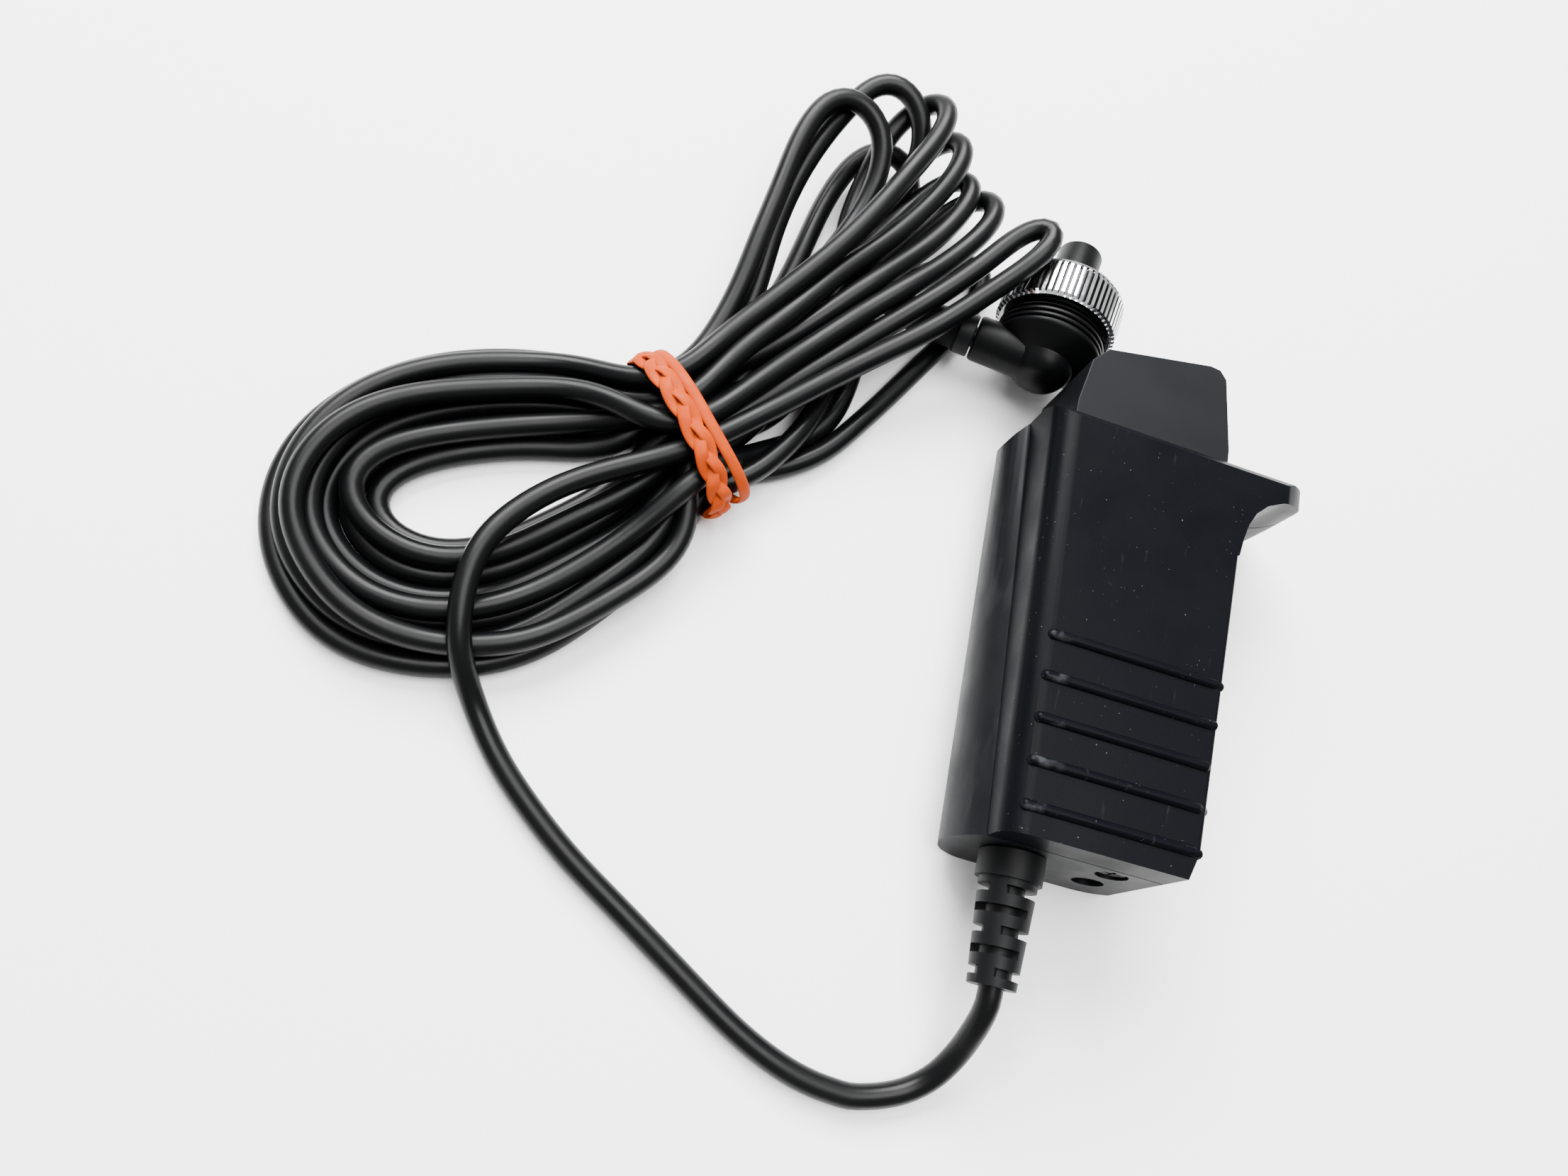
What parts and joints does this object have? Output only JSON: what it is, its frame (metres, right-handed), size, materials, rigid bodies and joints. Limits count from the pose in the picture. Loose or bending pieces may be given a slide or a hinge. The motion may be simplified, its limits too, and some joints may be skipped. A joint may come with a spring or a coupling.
{
  "type": "electric remote release cord",
  "caption": "Pistol-grip camera remote release with a thumb button, finger ribs and hook, a tied coil of round cord and a right-angle plug with a knurled lock ring.",
  "frame": {"origin": "middle of the footprint of the grip alone, on the surface that it lies on", "axes": "+Y along the grip towards the button, +X to the finger side with the hook, +Z out of the label face, upwards"},
  "size_m": [0.1722, 0.1854, 0.0278],
  "materials": {
    "black_shell": "satin moulded black plastic with a blue cast, worn along its rounded edge",
    "grey_shell": "matt charcoal plastic, rubbed by the palm",
    "button": "fine matt black plastic",
    "inner_plastic": "plain moulded plastic",
    "soft_rubber": "matt black rubber",
    "cord_vinyl": "smooth satin black vinyl jacket",
    "wire_red": "vinyl insulation",
    "wire_yellow": "vinyl insulation",
    "band_rubber": "matt orange elastic band, slightly translucent",
    "plug_plastic": "smooth black moulded plastic",
    "chrome_ring": "bright plated metal with straight knurls",
    "contact_brass": "plated brass",
    "steel": "plain steel",
    "dark_steel": "blackened steel"
  },
  "bodies": {
    "housing": {"label_shell": "black_shell", "palm_shell": "grey_shell", "button_guide": "inner_plastic", "return_spring_0": "steel", "return_spring_1": "steel", "contact_block": "inner_plastic", "block_screw_0": "steel", "block_screw_1": "steel", "full_press_leaf": "contact_brass", "strain_relief": "soft_rubber", "cord_clamp": "inner_plastic", "clamp_screw": "steel", "cord_end": "cord_vinyl", "screw_anchor": "inner_plastic", "shell_screw_0": "dark_steel", "shell_screw_1": "dark_steel", "wire_0": "wire_red", "wire_1": "cord_vinyl", "wire_2": "wire_yellow", "cord_lead": "cord_vinyl", "cord_left_lobe": "cord_vinyl", "cord_waist": "cord_vinyl", "cord_right_lobe": "cord_vinyl", "elastic_band": "band_rubber", "plug_elbow": "plug_plastic", "plug_cap": "plug_plastic", "plug_collar": "plug_plastic", "plug_nose": "plug_plastic", "pin_insert": "inner_plastic", "contact_pin_0": "contact_brass", "contact_pin_1": "contact_brass", "contact_pin_2": "contact_brass", "plug_sleeve": "soft_rubber"},
    "button": {"trigger_button": "button", "retaining_pin": "steel"},
    "common_contact": {"common_leaf": "contact_brass"},
    "half_contact": {"half_press_leaf": "contact_brass"},
    "ring": {"lock_ring": "chrome_ring"}
  },
  "joints": [
    {"name": "button_press", "type": "slide", "parent": "housing", "child": "button", "axis": [0, -1, 0], "range_m": [0, 0.004], "stiffness_N_per_m": 300, "deforming": ["return_spring_0", "return_spring_1"]},
    {"name": "common_leaf_flex", "type": "hinge", "parent": "housing", "child": "common_contact", "pos_m": [-0.01455, 0.0016, 0.0135], "axis": [0, 0, -1], "range_deg": [0, 9.1]},
    {"name": "half_leaf_flex", "type": "hinge", "parent": "housing", "child": "half_contact", "pos_m": [-0.01455, -0.0016, 0.0135], "axis": [0, 0, -1], "range_deg": [0, 3.1]},
    {"name": "ring_spin", "type": "hinge", "parent": "housing", "child": "ring", "pos_m": [-0.02355, 0.0441, 0.0116], "axis": [0.1494, 0.9888, 0], "continuous": true}
  ],
  "couplings": [
    {"joint": "common_leaf_flex", "follows": "button_press", "rad_per_m": 39.27},
    {"joint": "half_leaf_flex", "follows": "button_press", "rad_per_m": 13.09}
  ]
}
